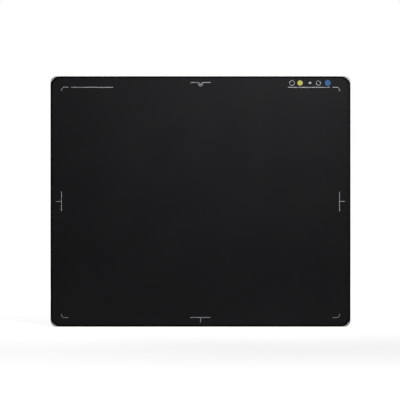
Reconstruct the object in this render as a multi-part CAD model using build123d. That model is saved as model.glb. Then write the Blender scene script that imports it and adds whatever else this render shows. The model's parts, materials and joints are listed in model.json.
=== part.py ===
from build123d import *
import os

# Flat panel x-ray detector, standing on its lower long edge.
# X runs across the panel, +Y points out of its back, Z is up from the lower edge.
# Most pieces are flat, so they are drawn on the front view and placed by their
# depth behind the front face. Every size is in millimetres.

# Whole detector
width = 460.0
height = 384.0
depth = 15.0
upright = 90

# Front cover and the marks printed on it
ink_thickness = 0.05
cover_thickness = 1.8
cover_inset = 0.3
cover_corner = 15.7
cover_edge_round = 0.5

# Side frame: an outer wall, a flange that carries the front cover and a ledge for the rear cover
frame_corner = 10.0
frame_wall = 2.2
frame_edge_round = 1.4
flange_width = 7.0
flange_thickness = 1.0
flange_corner = 6.0
ledge_width = 6.0
ledge_thickness = 2.0
ledge_corner = 4.0
guard_gap = 0.4
guard_reach = 12.3
guard_sink = 0.1
tape_thickness = 0.2
tape_inset = 0.5

# Imaging layers, front to back
border_sides = 16.8
border_ends = 15.25
foam_thickness = 1.0
scintillator_margin = 0.8
scintillator_thickness = 0.6
glass_margin = 4.0
glass_thickness = 0.7
shield_thickness = 0.2
bond_thickness = 0.3
plate_setback = 1.0
plate_thickness = 1.8

# Support plate fixings and corner cushions
tab_width = 6.0
right_tab_drop = 41.0
right_tab_rise = 45.0
right_tab_count = 3
boss_width = 7.0
boss_reach = 9.0
plate_screw_inset = 6.4
plate_screw_radius = 1.0
plate_screw_head_radius = 1.9
plate_screw_head = 1.2
cushion_leg = 22.0
cushion_gap = 0.2

# Circuit boards behind the support plate
standoff_height = 1.4
standoff_radius = 2.4
board_thickness = 1.0
board_screw_radius = 0.9
board_screw_head_radius = 1.7
board_screw_head = 1.0
board_hole_inset = 4.0
readout_board_height = 24.0
readout_board_margin = 17.0
gate_board_width = 18.0
gate_board_margin = 31.0
board_setback = 1.5
main_board_width = 165.0
main_board_height = 100.0
power_board_width = 88.0
power_board_height = 100.0
board_gap = 12.0
board_side_inset = 56.0

# Flexible circuits that wrap round the sensor glass
flex_thickness = 0.15
readout_pitch = 35.2
readout_flex_width = 26.0
gate_pitch = 43.9
gate_flex_width = 24.0
flex_bond_leg = 2.8
flex_board_leg = 10.0
flex_chip_length = 15.0
flex_chip_width = 2.4
flex_chip_height = 0.7
flex_chip_inset = 5.0

# Board parts
component_clearance = 1.0
processor_size = 27.0
processor_height = 1.6
can_size = 46.0
can_wall = 0.3
pad_thickness = 0.5
memory_width = 13.0
memory_length = 9.0
memory_height = 1.1
memory_pitch = 15.0
memory_count = 4
inductor_size = 11.0
inductor_corner = 1.8
inductor_columns = 3
inductor_rows = 2
capacitor_radius = 3.2
power_pitch = 18.0
card_width = 30.0
card_height = 22.0
card_lift = 1.2
card_margin = 1.5
card_connector = 2.4
card_thickness = 0.8
cable_thickness = 0.2
cable_overlap = 6.0
link_cable_width = 22.0
link_cable_rise = 33.0
link_cable_inset = 41.0
side_cable_width = 8.0
power_lead_width = 16.0
power_lead_riser = 8.0

# Rear cover
rear_cover_thickness = 1.5
rear_cover_gap = 0.2
gasket_thickness = 0.4
gasket_inset = 3.2
gasket_width = 4.4
rear_screw_inset = 5.3
rear_screw_pitch = 84.0
rear_screw_start = 22.0
rear_screw_radius = 1.2
rear_screw_head_radius = 2.2
rear_screw_head = 1.0
rear_screw_end_gap = 0.4
screw_clearance = 0.15
screw_sink = 0.1
hex_key_radius = 0.9
hex_key_depth = 0.6
hex_sides = 6
countersink = 45

# Finger grooves and antenna windows in the rear cover
groove_inset = 45.0
groove_width = 14.0
groove_length = 110.0
groove_depth = 2.0
groove_wall = 1.0
window_width = 12.0
window_length = 50.0
window_drop = 33.25
groove_gap = 30.0
window_step = 1.5
window_step_thickness = 0.6
window_gap = 0.1
antenna_width = 9.0
antenna_length = 44.0
antenna_thickness = 0.3
coax_radius = 0.45

# Battery bay and battery
battery_width = 210.0
battery_height = 112.0
battery_corner = 4.0
battery_sink = 0.1
battery_floor_gap = 0.2
bay_bottom = 44.0
bay_clearance = 0.3
bay_wall = 1.2
bay_floor_thickness = 0.9
bay_floor_gap = 0.6
battery_floor = 0.8
battery_rail = 5.1
battery_notch_wall = 4.5
battery_wall = 1.2
battery_board_height = 12.0
battery_board_thickness = 0.8
battery_cover_thickness = 1.0
battery_edge_round = 0.4
cell_count = 3
cell_gap = 1.0
cell_corner = 3.0
cell_slack = 0.3
battery_screw_inset = 3.0
battery_screw_radius = 0.8
battery_screw_head_radius = 1.5
battery_screw_head = 0.6
battery_screw_length = 2.6
finger_notch_radius = 11.0
finger_notch_depth = 3.0

# Battery contacts
contact_count = 8
contact_pitch = 4.5
contact_pad_width = 3.0
contact_pad_height = 6.0
contact_block_width = 42.0
contact_block_height = 10.0
contact_block_inset = 35.0
contact_pin_radius = 0.7
contact_gasket_width = 2.0

# Battery locks
lock_travel = 4.0
lock_gap = 0.4
lock_base_length = 18.0
lock_base_width = 13.0
lock_base_thickness = 1.3
lock_lift = 0.25
lock_pad_length = 12.0
lock_pad_width = 8.4
lock_pad_sink = 0.2
lock_pad_inset = 3.0
lock_pad_corner = 1.6
lock_tongue_width = 8.0
lock_tongue_inset = 0.1
lock_rib_count = 4
lock_rib_width = 1.0
lock_rib_pitch = 2.4
lock_rib_depth = 0.4
keeper_wall = 1.0
strike_gap = 0.4
strike_thickness = 0.8
strike_width = 14.0
strike_embed = 2.5

# Right side edge: tether socket, buttons and status lights, placed down from the top edge
tether_drop = 138.0
socket_length = 34.0
socket_room = 0.725
socket_reach = 7.5
socket_flange = 2.5
socket_flange_gap = 0.125
socket_flange_thickness = 1.0
socket_recess_length = 26.0
socket_recess_wall = 1.1
socket_recess_depth = 1.8
socket_sink = 0.1
socket_gap = 0.1
tether_pin_count = 8
tether_pin_pitch = 2.0
tether_pin_radius = 0.6
tether_pin_height = 0.9
tether_pin_tail = 1.0
magnet_wall = 1.1
magnet_length = 3.0
magnet_place = 13.0
power_button_drop = 65.0
power_button_length = 11.0
button_room = 0.625
link_button_drop = 81.0
button_sink = 0.2
button_gap = 0.15
button_flange = 1.1
button_flange_thickness = 0.8
button_stem_radius = 1.2
button_stem_length = 1.0
button_seal_thickness = 0.3
button_seal_gap = 0.225
button_seal_margin = 7.4
dome_gap = 0.05
dome_radius = 2.2
dome_height = 0.75
dome_skin = 0.25
light_drop = 96.0
light_pitch = 6.0
light_count = 3
light_radius = 1.1
light_sink = 0.05
light_gap = 0.08
light_bar_width = 4.0
light_bar_thickness = 0.8
led_size = 1.6
led_height = 0.8
side_board_top_drop = 52.0
side_board_length = 64.0
side_board_gap = 0.625
side_post_radius = 2.2
side_post_inset = 3.2
side_screw_radius = 0.7
side_screw_head_radius = 1.5
side_screw_head = 0.8

# Printed marks, measured from the edges of the detector
mark_line = 0.9
side_mark_inset = 17.0
side_mark_half = 14.9
side_tick_length = 8.3
end_mark_half = 15.5
lower_mark_height = 14.2
lower_tick_length = 7.9
upper_mark_drop = 9.75
chevron_gap_half = 3.1
chevron_depth = 3.1
second_chevron_half = 4.0
second_chevron_drop = 12.1
second_chevron_depth = 3.65
bracket_top_drop = 17.1
bracket_bottom_height = 14.0
bracket_radius = 4.4
bracket_side_length = 1.3
bracket_end_length = 10.7
edge_line_inset = 31.9
edge_line_length = 64.3
dot_row_drop = 10.5
dot_insets = [35.0, 49.3, 62.4, 77.5, 89.8]
dot_radii = [4.5, 3.7, 2.0, 4.0, 4.2]
dot_hole_radii = [0.0, 2.9, 0.0, 0.0, 3.4]

# Depths behind the front face, each from the pieces before it
cover_front = ink_thickness
cover_back = cover_front + cover_thickness
frame_front = cover_back + tape_thickness
flange_back = frame_front + flange_thickness
foam_back = cover_back + foam_thickness
scintillator_back = foam_back + scintillator_thickness
glass_back = scintillator_back + glass_thickness
shield_back = glass_back + shield_thickness
bond_back = shield_back + bond_thickness
plate_back = bond_back + plate_thickness
board_front = plate_back + standoff_height
board_back = board_front + board_thickness
rear_cover_front = depth - rear_cover_thickness
ledge_back = rear_cover_front - gasket_thickness
ledge_front = ledge_back - ledge_thickness
component_room = rear_cover_front - board_back - component_clearance
bay_floor_front = plate_back + bay_floor_gap
bay_floor_back = bay_floor_front + bay_floor_thickness
battery_front = bay_floor_back + battery_floor_gap
battery_back = depth - battery_sink
battery_cover_front = battery_back - battery_cover_thickness
cell_front = battery_front + battery_floor

# Places on the front view, each from the pieces it depends on
middle = height / 2
glass_half_width = width / 2 - border_sides + glass_margin
glass_half_height = height / 2 - border_ends + glass_margin
plate_half_width = glass_half_width - plate_setback
plate_half_height = glass_half_height - plate_setback
cover_half_width = width / 2 - cover_inset
cover_half_height = height / 2 - cover_inset
readout_board_top = middle + glass_half_height - board_setback
readout_board_bottom = readout_board_top - readout_board_height
board_top = readout_board_bottom - board_gap
main_board_bottom = board_top - main_board_height
main_board_left = -width / 2 + board_side_inset
main_board_right = main_board_left + main_board_width
power_board_bottom = board_top - power_board_height
power_board_right = width / 2 - board_side_inset
power_board_left = power_board_right - power_board_width
gate_board_left = -glass_half_width + board_setback
gate_board_right = gate_board_left + gate_board_width
bay_half_width = battery_width / 2 + bay_clearance
battery_bottom = bay_bottom + bay_clearance
battery_top = battery_bottom + battery_height
battery_middle = battery_bottom + battery_height / 2
tray_half_width = battery_width / 2 - lock_travel - strike_gap
bay_top = battery_top + bay_clearance
bay_outer = bay_half_width + bay_wall
cell_low = battery_bottom + finger_notch_radius + battery_notch_wall
cell_high = battery_top - 2 * battery_wall - battery_board_height
contact_z = battery_top - battery_wall - battery_board_height / 2
contact_x = battery_width / 2 - contact_block_inset
lock_base_start = bay_outer + lock_travel + lock_gap
lock_base_end = lock_base_start + lock_base_length
lock_base_back = rear_cover_front - lock_lift
lock_base_front = lock_base_back - lock_base_thickness
lock_pad_start = lock_base_start + lock_pad_inset
keeper_floor_back = lock_base_front - lock_lift
window_z = board_top - window_drop
groove_z = window_z - window_length / 2 - groove_gap - groove_length / 2
side_room = ledge_front - flange_back
side_middle = flange_back + side_room / 2
socket_thickness = side_room - 2 * socket_room
socket_flange_width = side_room - 2 * socket_flange_gap
socket_recess_width = socket_thickness - 2 * socket_recess_wall
magnet_radius = socket_thickness / 2 - magnet_wall
button_seal_width = side_room - 2 * button_seal_gap
power_button_width = side_room - 2 * (button_room + button_flange)
link_button_radius = power_button_width / 2
side_board_width = side_room - 2 * side_board_gap
side_board_outer = frame_wall + button_seal_thickness + button_flange_thickness + button_stem_length
side_board_outer = side_board_outer + dome_gap + dome_height


# Drawing helpers

def rect(left, right, bottom, top, corner=0.0):
    """Upright rectangle between four edges, with round corners where a radius is given."""
    place = Pos((left + right) / 2, (bottom + top) / 2)
    if corner > 0:
        return place * RectangleRounded(right - left, top - bottom, corner)
    return place * Rectangle(right - left, top - bottom)


def inset_outline(inset, corner):
    """The detector's outline, drawn in by the same distance all round."""
    return rect(inset - width / 2, width / 2 - inset, inset, height - inset, corner)


def centred(half_width, half_height, corner=0.0):
    """Rectangle about the middle of the panel."""
    return rect(-half_width, half_width, middle - half_height, middle + half_height, corner)


def spot(x, z, radius):
    return Pos(x, z) * Circle(radius)


def slab(outline, front, back, taper=0.0):
    """Solid from a front-view outline, between two depths behind the front face."""
    start = Plane(origin=(0, back - depth / 2, 0), x_dir=(1, 0, 0), z_dir=(0, -1, 0))
    return extrude(start * outline, amount=back - front, taper=taper)


def side_slab(outline, outer, inner):
    """Solid from a side-view outline, between two distances in from the right side face."""
    start = Plane(origin=(width / 2 - inner, -depth / 2, 0), x_dir=(0, 1, 0), z_dir=(1, 0, 0))
    return extrude(start * outline, amount=inner - outer)


def side_spot(drop, radius):
    """Circle on the side view, half way through the detector and down from its top edge."""
    return Pos(side_middle, height - drop) * Circle(radius)


def side_slot(drop, length, thickness):
    """Upright slot with round ends on the side view."""
    return Pos(side_middle, height - drop) * SlotOverall(length, thickness, rotation=upright)


def side_rect(drop, length, thickness):
    """Upright rectangle on the side view."""
    return Pos(side_middle, height - drop) * Rectangle(thickness, length)


def group(solids):
    """Several separate solids kept as one node."""
    return Compound(children=[piece for piece in solids])


def row(count, pitch):
    """Evenly spaced places about zero."""
    return [(index - (count - 1) / 2) * pitch for index in range(count)]


def round_back_edges(solid, radius):
    """Round the outer edges of a solid's rearmost face."""
    back_face = solid.faces().sort_by(Axis.Y)[-1]
    return fillet(back_face.outer_wire().edges(), radius)


def round_front_edges(solid, radius):
    """Round the outer edges of a solid's foremost face."""
    front_face = solid.faces().sort_by(Axis.Y)[0]
    return fillet(front_face.outer_wire().edges(), radius)


# Places of repeated pieces

def flex_places(side, pitch, flex_width):
    """Even spacing of flexes along one side, between the corner cushions, with a gap at the middle."""
    room = side - 2 * cushion_leg - flex_width
    count = 2 * int((room + pitch) / pitch / 2)
    return row(count, pitch)


def tab_places(flexes):
    """The support plate's tabs stand in gaps between flexes: near each end and beside the middle."""
    gaps = [(one + other) / 2 for one, other in zip(flexes, flexes[1:])]
    half = len(gaps) // 2
    chosen = sorted({1, half - 1, half + 1, len(gaps) - 2})
    return [gaps[index] for index in chosen]


def readout_places():
    return flex_places(width, readout_pitch, readout_flex_width)


def gate_places():
    return flex_places(height, gate_pitch, gate_flex_width)


def readout_tabs():
    return tab_places(readout_places())


def gate_tabs():
    return [middle + z for z in tab_places(gate_places())]


def right_tabs():
    """One tab above the side switch board and the others below the tether socket."""
    low = right_tab_rise
    high = height - tether_drop - socket_length
    lower = [(low + high) / 2 + z for z in row(right_tab_count, (high - low) / (right_tab_count - 1))]
    return lower + [height - right_tab_drop]


def rear_screw_places():
    """Screws all round the rear ledge, evenly shared out between the corners."""
    across = width / 2 - rear_screw_inset
    places = []
    run = width - 2 * rear_screw_start
    count = 1 + round(run / rear_screw_pitch)
    for x in row(count, run / (count - 1)):
        places.append((x, rear_screw_inset))
        places.append((x, height - rear_screw_inset))
    run = height - 2 * rear_screw_start
    count = 1 + round(run / rear_screw_pitch)
    for z in row(count, run / (count - 1)):
        places.append((across, middle + z))
        places.append((-across, middle + z))
    return places


def corner_places(left, right, bottom, top, inset):
    return [(x, z) for x in (left + inset, right - inset) for z in (bottom + inset, top - inset)]


def board_hole_places():
    """Screws and standoffs of the four boards."""
    left = readout_board_margin - glass_half_width
    right = -left
    low = middle - glass_half_height + gate_board_margin
    high = middle + glass_half_height - gate_board_margin
    inset = board_hole_inset
    places = corner_places(main_board_left, main_board_right, main_board_bottom, board_top, inset)
    places += corner_places(power_board_left, power_board_right, power_board_bottom, board_top, inset)
    places += [(left + inset, readout_board_bottom + inset)]
    places += [(right - inset, readout_board_bottom + inset)]
    places += [(gate_board_right - inset, low + inset)]
    places += [(gate_board_right - inset, high - inset)]
    return places


def battery_screw_places():
    left = -tray_half_width
    return corner_places(left, -left, battery_bottom, battery_top, battery_screw_inset)


# Front cover, its bond and the printed marks

def front_cover():
    plate = slab(centred(cover_half_width, cover_half_height, cover_corner), cover_front, cover_back)
    return round_front_edges(plate, cover_edge_round)


def line(x0, z0, x1, z1):
    """One printed stroke of the mark line's width, with square ends."""
    path = Line((x0, z0), (x1, z1))
    return trace(path, line_width=mark_line)


def printed(outline):
    return slab(outline, 0, cover_front)


def side_mark(side):
    x = side * (width / 2 - side_mark_inset)
    mark = line(x, middle - side_mark_half, x, middle + side_mark_half)
    mark += line(x, middle, x + side * side_tick_length, middle)
    return printed(mark)


def lower_mark():
    mark = line(-end_mark_half, lower_mark_height, end_mark_half, lower_mark_height)
    mark += line(0, lower_mark_height, 0, lower_mark_height - lower_tick_length)
    return printed(mark)


def chevron(half, top, drop):
    """Two strokes that meet at a point below their upper ends."""
    path = Polyline((-half, top), (0, top - drop), (half, top))
    return trace(path, line_width=mark_line)


def upper_mark():
    top = height - upper_mark_drop
    path = Polyline(
        (-end_mark_half, top),
        (-chevron_gap_half, top),
        (0, top - chevron_depth),
        (chevron_gap_half, top),
        (end_mark_half, top),
    )
    return printed(trace(path, line_width=mark_line))


def second_chevron():
    top = height - second_chevron_drop
    return printed(chevron(second_chevron_half, top, second_chevron_depth))


def corner_bracket(side, end):
    """Round-cornered bracket at one corner of the active area."""
    x = width / 2 - side_mark_inset
    z = height - bracket_top_drop if end > 0 else bracket_bottom_height
    path = FilletPolyline(
        (side * x, z - end * (bracket_side_length + bracket_radius)),
        (side * x, z),
        (side * (x - bracket_end_length), z),
        radius=bracket_radius,
    )
    return printed(trace(path, line_width=mark_line))


def edge_line(side):
    z = height - bracket_top_drop
    start = width / 2 - edge_line_inset
    return printed(line(side * start, z, side * (start - edge_line_length), z))


def alignment_marks():
    marks = [side_mark(-1), side_mark(1), lower_mark(), upper_mark(), second_chevron()]
    for side in (-1, 1):
        marks.append(edge_line(side))
        for end in (-1, 1):
            marks.append(corner_bracket(side, end))
    return group(marks)


def indicator_dots():
    """A row of plain rings and spots, from the top right corner inwards."""
    dots = []
    z = height - dot_row_drop
    for inset, radius, hole_radius in zip(dot_insets, dot_radii, dot_hole_radii):
        x = width / 2 - inset
        outline = spot(x, z, radius)
        if hole_radius > 0:
            outline -= spot(x, z, hole_radius)
        dots.append(printed(outline))
    return group(dots)


def front_seal_tape():
    edge = cover_inset + tape_inset
    ring = inset_outline(edge, cover_corner - tape_inset) - inset_outline(flange_width, flange_corner)
    return slab(ring, cover_back, frame_front)


# Imaging layers

def impact_foam():
    return slab(centred(glass_half_width, glass_half_height), cover_back, foam_back)


def scintillator_screen():
    half_width = glass_half_width - glass_margin + scintillator_margin
    half_height = glass_half_height - glass_margin + scintillator_margin
    return slab(centred(half_width, half_height), foam_back, scintillator_back)


def sensor_glass():
    return slab(centred(glass_half_width, glass_half_height), scintillator_back, glass_back)


def scatter_shield():
    return slab(centred(plate_half_width, plate_half_height), glass_back, shield_back)


def sensor_bond_sheet():
    return slab(centred(plate_half_width, plate_half_height), shield_back, bond_back)


def plate_screw_places():
    across = width / 2 - plate_screw_inset
    places = []
    for x in readout_tabs():
        places.append((x, plate_screw_inset))
        places.append((x, height - plate_screw_inset))
    places += [(across, z) for z in right_tabs()]
    places += [(-across, z) for z in gate_tabs()]
    return places


def edge_block(x, z, breadth, outer, inner):
    """Rectangle at a screw place, between two distances in from the nearest side of the frame."""
    half = breadth / 2
    if z < 2 * plate_screw_inset:
        return rect(x - half, x + half, outer, inner)
    if z > height - 2 * plate_screw_inset:
        return rect(x - half, x + half, height - inner, height - outer)
    if x > 0:
        return rect(width / 2 - inner, width / 2 - outer, z - half, z + half)
    return rect(outer - width / 2, inner - width / 2, z - half, z + half)


def support_plate():
    """Stiff plate with tabs that are screwed to bosses in the side frame."""
    tab_end = plate_screw_inset - tab_width / 2
    outline = centred(plate_half_width, plate_half_height)
    for x, z in plate_screw_places():
        outline += edge_block(x, z, tab_width, tab_end, border_sides)
    for x, z in plate_screw_places():
        outline -= spot(x, z, plate_screw_radius + screw_clearance)
    return slab(outline, bond_back, plate_back)


def support_plate_screws():
    screws = []
    for x, z in plate_screw_places():
        shank = slab(spot(x, z, plate_screw_radius), flange_back, plate_back)
        head = slab(spot(x, z, plate_screw_head_radius), plate_back, plate_back + plate_screw_head)
        socket = Pos(x, z) * RegularPolygon(hex_key_radius, hex_sides)
        screws.append(shank + head - slab(socket, plate_back + hex_key_depth, plate_back + plate_screw_head))
    return group(screws)


def corner_cushions():
    """L-shaped rubber blocks between the frame's corners and the sensor's support plate."""
    inset = frame_wall + cushion_gap
    ring = inset_outline(inset, frame_corner - inset)
    ring -= centred(glass_half_width + cushion_gap, glass_half_height + cushion_gap)
    cushions = []
    for side in (-1, 1):
        for end in (-1, 1):
            x = side * width / 2
            z = middle + end * height / 2
            corner = rect(x - cushion_leg, x + cushion_leg, z - cushion_leg, z + cushion_leg)
            cushions.append(slab(ring & corner, flange_back, plate_back))
    return group(cushions)


# Side frame

def corner_guards():
    """The frame's four corners, which rise beside the cover's rounder corners."""
    outline = inset_outline(0, frame_corner)
    edge = cover_inset - guard_gap
    outline -= inset_outline(edge, cover_corner + guard_gap)
    crosses = rect(-width, width, guard_reach, height - guard_reach)
    crosses += rect(guard_reach - width / 2, width / 2 - guard_reach, -height, 2 * height)
    return slab(outline - crosses, guard_sink, frame_front)


def frame_bosses():
    """Blocks behind the flange that take the support plate's screws."""
    outlines = [edge_block(x, z, boss_width, frame_wall / 2, boss_reach) for x, z in plate_screw_places()]
    return [slab(outline, flange_back, bond_back) for outline in outlines]


def side_post_places():
    top = side_board_top_drop + side_post_inset
    bottom = side_board_top_drop + side_board_length - side_post_inset
    return [top, bottom]


def light_drops():
    return [light_drop + index * light_pitch for index in range(light_count)]


def frame_side_openings():
    """Cuts through the right wall for the socket, the buttons and the status lights."""
    cuts = [side_slot(tether_drop, socket_length + 2 * socket_gap, socket_thickness + 2 * socket_gap)]
    length = power_button_length + 2 * button_gap
    cuts.append(side_slot(power_button_drop, length, power_button_width + 2 * button_gap))
    cuts.append(side_spot(link_button_drop, link_button_radius + button_gap))
    for drop in light_drops():
        cuts.append(side_spot(drop, light_radius + light_gap))
    return [side_slab(outline, 0, frame_wall) for outline in cuts]


def side_frame():
    body = slab(inset_outline(0, frame_corner), frame_front, depth)
    body = round_back_edges(body, frame_edge_round)
    inner_corner = frame_corner - frame_wall
    body -= slab(inset_outline(flange_width, flange_corner), frame_front, flange_back)
    body -= slab(inset_outline(frame_wall, inner_corner), flange_back, ledge_front)
    body -= slab(inset_outline(frame_wall + ledge_width, ledge_corner), ledge_front, ledge_back)
    body -= slab(inset_outline(frame_wall, inner_corner), ledge_back, depth)
    body += corner_guards()
    for boss in frame_bosses():
        body += boss
    for drop in side_post_places():
        body += side_slab(side_spot(drop, side_post_radius), frame_wall / 2, side_board_outer)
    for x, z in plate_screw_places():
        body -= slab(spot(x, z, plate_screw_radius), flange_back, bond_back)
    for x, z in rear_screw_places():
        body -= slab(spot(x, z, rear_screw_radius), ledge_front, ledge_back)
    for drop in side_post_places():
        body -= side_slab(side_spot(drop, side_screw_radius), frame_wall, side_board_outer)
    for cut in frame_side_openings():
        body -= cut
    return body


# Rear cover

def groove_places():
    return [-(width / 2 - groove_inset), width / 2 - groove_inset]


def upright_slot(x, z, length, breadth):
    return Pos(x, z) * SlotOverall(length, breadth, rotation=upright)


def lock_slot(side):
    """Opening in the rear cover that a lock's thumb pad slides in."""
    near = lock_pad_start - lock_travel - lock_gap
    far = lock_pad_start + lock_pad_length + lock_gap
    half = lock_pad_width / 2 + lock_gap
    low, high = sorted((side * near, side * far))
    return rect(low, high, battery_middle - half, battery_middle + half, lock_pad_corner + lock_gap)


def bay_opening(clearance=0.0):
    grow = bay_clearance + clearance
    half = battery_width / 2 + grow
    corner = battery_corner + grow
    return rect(-half, half, battery_bottom - grow, battery_top + grow, corner)


def contact_outline(margin=0.0):
    half = contact_block_width / 2 + margin
    rise = contact_block_height / 2 + margin
    return rect(contact_x - half, contact_x + half, contact_z - rise, contact_z + rise)


def rear_cover():
    """Rear plate with an opening for the battery and two finger grooves formed in it."""
    inset = frame_wall + rear_cover_gap
    cover = slab(inset_outline(inset, frame_corner - inset), rear_cover_front, depth)
    for x in groove_places():
        walls = upright_slot(x, groove_z, groove_length + 2 * groove_wall, groove_width + 2 * groove_wall)
        cover += slab(walls, depth - groove_depth - groove_wall, depth)
    cover -= slab(bay_opening(), rear_cover_front, depth)
    for x in groove_places():
        cover -= slab(upright_slot(x, groove_z, groove_length, groove_width), depth - groove_depth, depth)
        opening = upright_slot(x, window_z, window_length + 2 * window_gap, window_width + 2 * window_gap)
        cover -= slab(opening, rear_cover_front, depth)
        step = upright_slot(x, window_z, window_length + 2 * window_step, window_width + 2 * window_step)
        cover -= slab(step, rear_cover_front, rear_cover_front + window_step_thickness)
    for side in (-1, 1):
        cover -= slab(lock_slot(side), rear_cover_front, depth)
    head = rear_screw_head_radius + screw_clearance
    for x, z in rear_screw_places():
        cover -= slab(spot(x, z, rear_screw_radius + screw_clearance), rear_cover_front, depth)
        cover -= slab(spot(x, z, head), depth - rear_screw_head - screw_sink, depth, taper=countersink)
    return cover


def rear_gasket():
    outer = inset_outline(gasket_inset, frame_corner - gasket_inset)
    inner = gasket_inset + gasket_width
    ring = outer - inset_outline(inner, ledge_corner)
    for x, z in rear_screw_places():
        ring -= spot(x, z, rear_screw_radius + screw_clearance)
    return slab(ring, ledge_back, rear_cover_front)


def countersunk_screw(x, z):
    """Countersunk screw with a hexagon socket, its head just under the rear cover's surface."""
    top = depth - screw_sink
    screw = slab(spot(x, z, rear_screw_radius), ledge_front + rear_screw_end_gap, top)
    screw += slab(spot(x, z, rear_screw_head_radius), top - rear_screw_head, top, taper=countersink)
    socket = Pos(x, z) * RegularPolygon(hex_key_radius, hex_sides)
    return screw - slab(socket, top - hex_key_depth, top)


def rear_cover_screws():
    return group([countersunk_screw(x, z) for x, z in rear_screw_places()])


def antenna_windows():
    windows = []
    for x in groove_places():
        window = slab(upright_slot(x, window_z, window_length, window_width), rear_cover_front, depth)
        grow = 2 * (window_step - window_gap)
        flange = upright_slot(x, window_z, window_length + grow, window_width + grow)
        window += slab(flange, rear_cover_front, rear_cover_front + window_step_thickness)
        windows.append(window)
    return group(windows)


def antennas():
    back = rear_cover_front
    outlines = [centred_strip(x, window_z, antenna_width, antenna_length) for x in groove_places()]
    return group([slab(outline, back - antenna_thickness, back) for outline in outlines])


def centred_strip(x, z, breadth, length):
    return rect(x - breadth / 2, x + breadth / 2, z - length / 2, z + length / 2)


def beside_bay(side, start, end, half):
    """Rectangle at one lock, between two distances out from the middle of the panel."""
    low, high = sorted((side * start, side * end))
    return rect(low, high, battery_middle - half, battery_middle + half)


def battery_bay():
    """Tray bonded behind the rear cover, with a keeper at each side for a lock slider."""
    bay = slab(bay_opening(bay_wall), bay_floor_front, rear_cover_front)
    inner_half = lock_base_width / 2 + lock_gap
    inner_end = lock_base_end + lock_gap
    for side in (-1, 1):
        keeper = beside_bay(side, bay_outer, inner_end + keeper_wall, inner_half + keeper_wall)
        bay += slab(keeper, keeper_floor_back - keeper_wall, rear_cover_front)
        hollow = beside_bay(side, bay_outer, inner_end, inner_half)
        bay -= slab(hollow, keeper_floor_back, rear_cover_front)
        passage = beside_bay(side, bay_half_width, bay_outer, lock_tongue_width / 2 + lock_gap)
        bay -= slab(passage, keeper_floor_back, rear_cover_front)
    bay -= slab(bay_opening(), bay_floor_back, rear_cover_front)
    return bay - slab(contact_outline(), bay_floor_front, bay_floor_back)


def lock_slider(side):
    """Thumb pad on a base plate, with a tongue that slides behind the battery's strike."""
    outline = beside_bay(side, lock_base_start, lock_base_end, lock_base_width / 2)
    tip = bay_half_width + lock_tongue_inset
    outline += beside_bay(side, tip, lock_base_start, lock_tongue_width / 2)
    slider = slab(outline, lock_base_front, lock_base_back)
    low, high = sorted((side * lock_pad_start, side * (lock_pad_start + lock_pad_length)))
    half = lock_pad_width / 2
    pad_back = depth - lock_pad_sink
    pad = rect(low, high, battery_middle - half, battery_middle + half, lock_pad_corner)
    slider += slab(pad, lock_base_back, pad_back)
    pad_middle = side * (lock_pad_start + lock_pad_length / 2)
    for step in row(lock_rib_count, lock_rib_pitch):
        groove = centred_strip(pad_middle + step, battery_middle, lock_rib_width, lock_pad_width)
        slider -= slab(groove, pad_back - lock_rib_depth, pad_back)
    return slider


def lock_slider_left():
    return lock_slider(-1)


def lock_slider_right():
    return lock_slider(1)


# Battery

def battery_outline():
    half = battery_width / 2
    return rect(-half, half, battery_bottom, battery_top, battery_corner)


def finger_notch():
    """Half-round notch at the battery's lower edge, for lifting it out."""
    return spot(0, battery_bottom, finger_notch_radius)


def cell_pocket():
    half = tray_half_width - battery_rail
    return rect(-half, half, cell_low, cell_high)


def battery_board_pocket(inset=0.0):
    half = tray_half_width - battery_rail - inset
    high = battery_top - battery_wall - inset
    return rect(-half, half, high - battery_board_height + 2 * inset, high)


def contact_places():
    return [contact_x + step for step in row(contact_count, contact_pitch)]


def contact_pad_outline(x, grow=0.0):
    return centred_strip(x, contact_z, contact_pad_width + 2 * grow, contact_pad_height + 2 * grow)


def lock_strikes():
    """Steel plates moulded into the battery tray's sides, which the lock tongues slide behind."""
    back = lock_base_front - strike_gap
    start = tray_half_width - strike_embed
    outlines = [beside_bay(side, start, battery_width / 2, strike_width / 2) for side in (-1, 1)]
    return group([slab(outline, back - strike_thickness, back) for outline in outlines])


def battery_tray():
    """Tray for the cells, narrower than its cover so that the lock tongues can pass beside it."""
    outline = rect(-tray_half_width, tray_half_width, battery_bottom, battery_top, battery_corner)
    tray = slab(outline, battery_front, battery_cover_front)
    tray -= slab(cell_pocket(), cell_front, battery_cover_front)
    tray -= slab(battery_board_pocket(), cell_front, battery_cover_front)
    tray -= slab(finger_notch(), battery_back - finger_notch_depth, battery_cover_front)
    tray -= lock_strikes()
    for x in contact_places():
        tray -= slab(contact_pad_outline(x), battery_front, cell_front)
    for x, z in battery_screw_places():
        tray -= slab(
            spot(x, z, battery_screw_radius), battery_back - battery_screw_length, battery_cover_front
        )
    return tray


def battery_cover():
    cover = slab(battery_outline(), battery_cover_front, battery_back)
    cover = round_back_edges(cover, battery_edge_round)
    cover -= slab(finger_notch(), battery_cover_front, battery_back)
    head = battery_screw_head_radius + screw_clearance
    head_front = battery_back - battery_screw_head - screw_sink
    for x, z in battery_screw_places():
        cover -= slab(spot(x, z, battery_screw_radius + screw_clearance), battery_cover_front, battery_back)
        cover -= slab(spot(x, z, head), head_front, battery_back, taper=countersink)
    return cover


def battery_screws():
    screws = []
    for x, z in battery_screw_places():
        top = battery_back - screw_sink
        screw = slab(spot(x, z, battery_screw_radius), battery_back - battery_screw_length, top)
        screw += slab(spot(x, z, battery_screw_head_radius), top - battery_screw_head, top, taper=countersink)
        screws.append(screw)
    return group(screws)


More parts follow.
